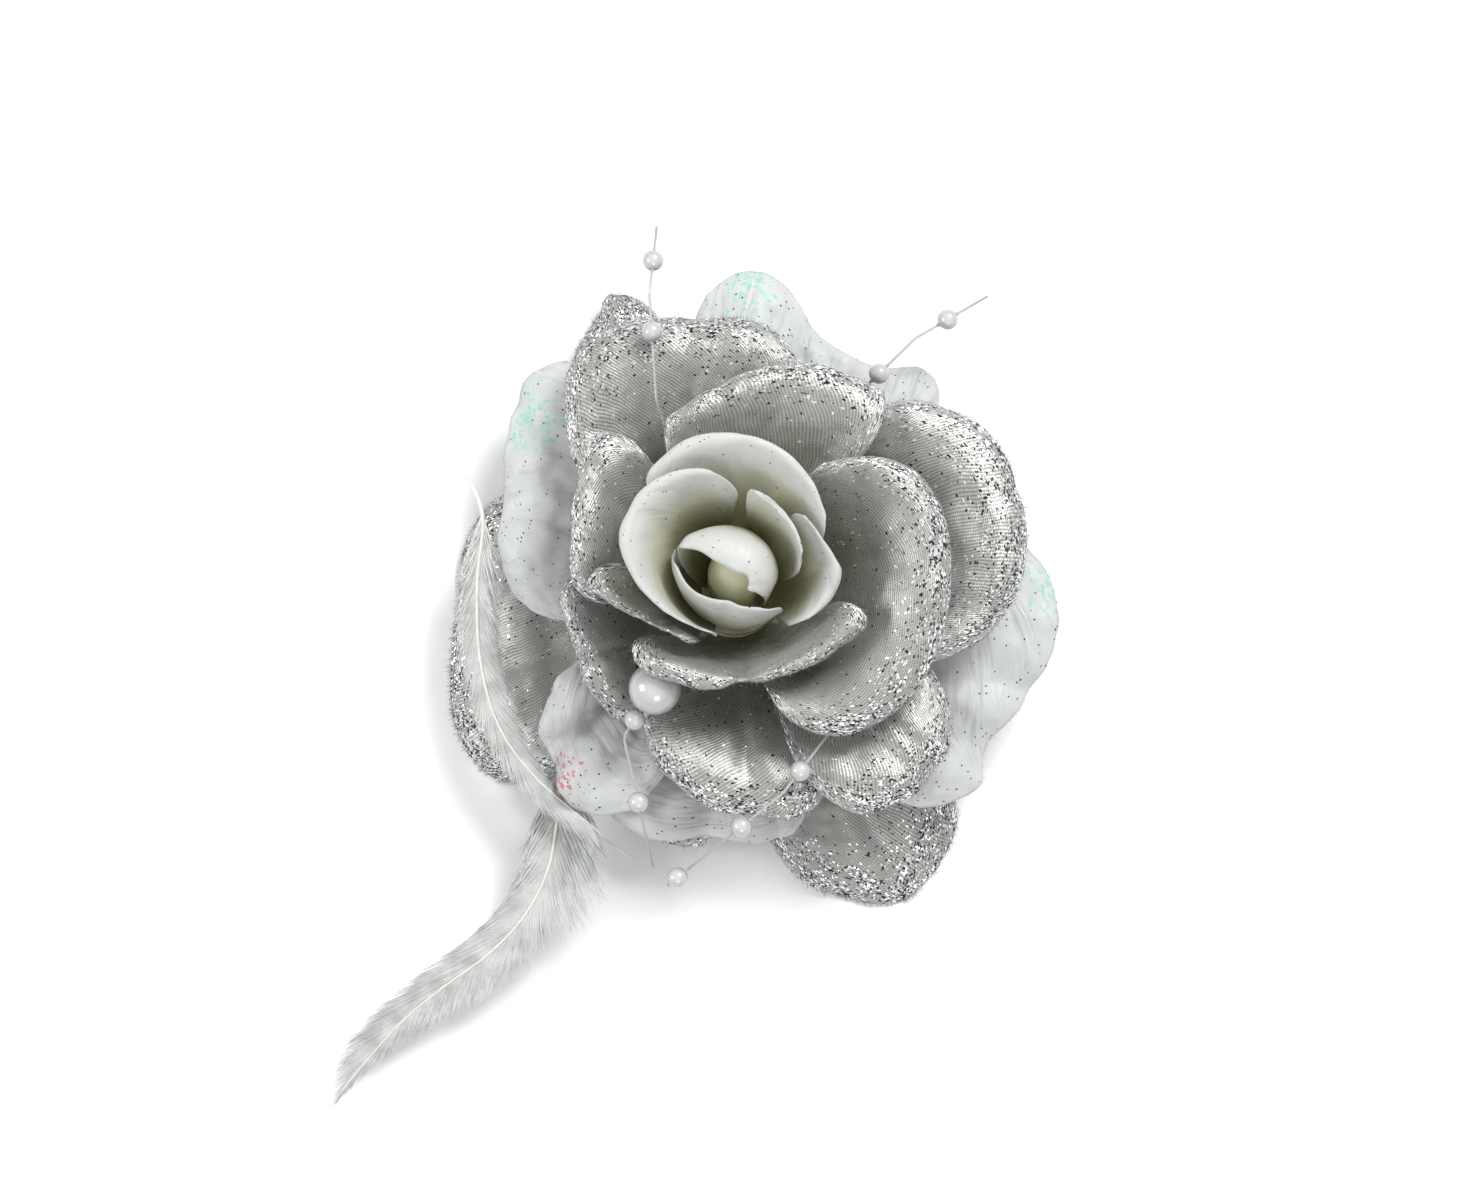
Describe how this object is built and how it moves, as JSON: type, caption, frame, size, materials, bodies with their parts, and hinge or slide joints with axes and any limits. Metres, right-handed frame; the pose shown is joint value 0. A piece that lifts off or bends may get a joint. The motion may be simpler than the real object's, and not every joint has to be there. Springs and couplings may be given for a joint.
{
  "type": "flower hair clip",
  "caption": "Layered fabric rose with pearl sprays and two feathers, glued to a felt disc on a sprung alligator hair clip.",
  "frame": {"origin": "point where the flower's axis meets the surface that the clip's flat lower jaw rests on", "axes": "+Z out of the flower's face, X along the clip towards its tip, +Y across it, away from the long feather"},
  "size_m": [0.1406, 0.1657, 0.057],
  "materials": {
    "silver_cloth": "shiny",
    "white_satin": "satin",
    "ivory_satin": "satin",
    "feather": "matte",
    "quill": "satin",
    "pearl": "pearlescent",
    "nylon": "clear",
    "clip_steel": "polished",
    "spring_steel": "drawn wire",
    "felt": "felted",
    "glue": "hot melt",
    "core_plastic": "moulded"
  },
  "bodies": {
    "flower": {"bud_heart": "ivory_satin", "bud_inner_1": "ivory_satin", "bud_inner_2": "ivory_satin", "bud_outer_1": "ivory_satin", "bud_outer_2": "ivory_satin", "bud_outer_3": "ivory_satin", "feather_long_quill": "quill", "feather_long_vane": "feather", "feather_short_quill": "quill", "feather_short_vane": "feather", "felt_disc": "felt", "flower_core": "core_plastic", "glue_pad": "glue", "hinge_pin": "clip_steel", "large_pearl": "pearl", "silver_back_1": "silver_cloth", "silver_back_2": "silver_cloth", "silver_back_3": "silver_cloth", "silver_back_4": "silver_cloth", "silver_back_5": "silver_cloth", "silver_inner_1": "silver_cloth", "silver_inner_2": "silver_cloth", "silver_inner_3": "silver_cloth", "silver_inner_4": "silver_cloth", "silver_outer_1": "silver_cloth", "silver_outer_2": "silver_cloth", "silver_outer_3": "silver_cloth", "silver_outer_4": "silver_cloth", "silver_outer_5": "silver_cloth", "silver_outer_6": "silver_cloth", "spray_1": "nylon", "spray_1_beads": "pearl", "spray_2": "nylon", "spray_2_beads": "pearl", "spray_3": "nylon", "spray_3_beads": "pearl", "spray_4": "nylon", "spray_4_beads": "pearl", "spring": "spring_steel", "upper_jaw": "clip_steel", "white_outer_1": "white_satin", "white_outer_2": "white_satin", "white_outer_3": "white_satin", "white_outer_4": "white_satin", "white_outer_5": "white_satin"},
    "lower_jaw": {"lower_jaw": "clip_steel"}
  },
  "joints": [
    {"name": "jaw_hinge", "type": "hinge", "parent": "flower", "child": "lower_jaw", "pos_m": [-0.002, 0, 0.0043], "axis": [0, 1, 0], "range_deg": [0, 23], "stiffness_Nm_per_rad": 0.08, "springref_deg": -28.65, "deforming": ["spring"]}
  ]
}
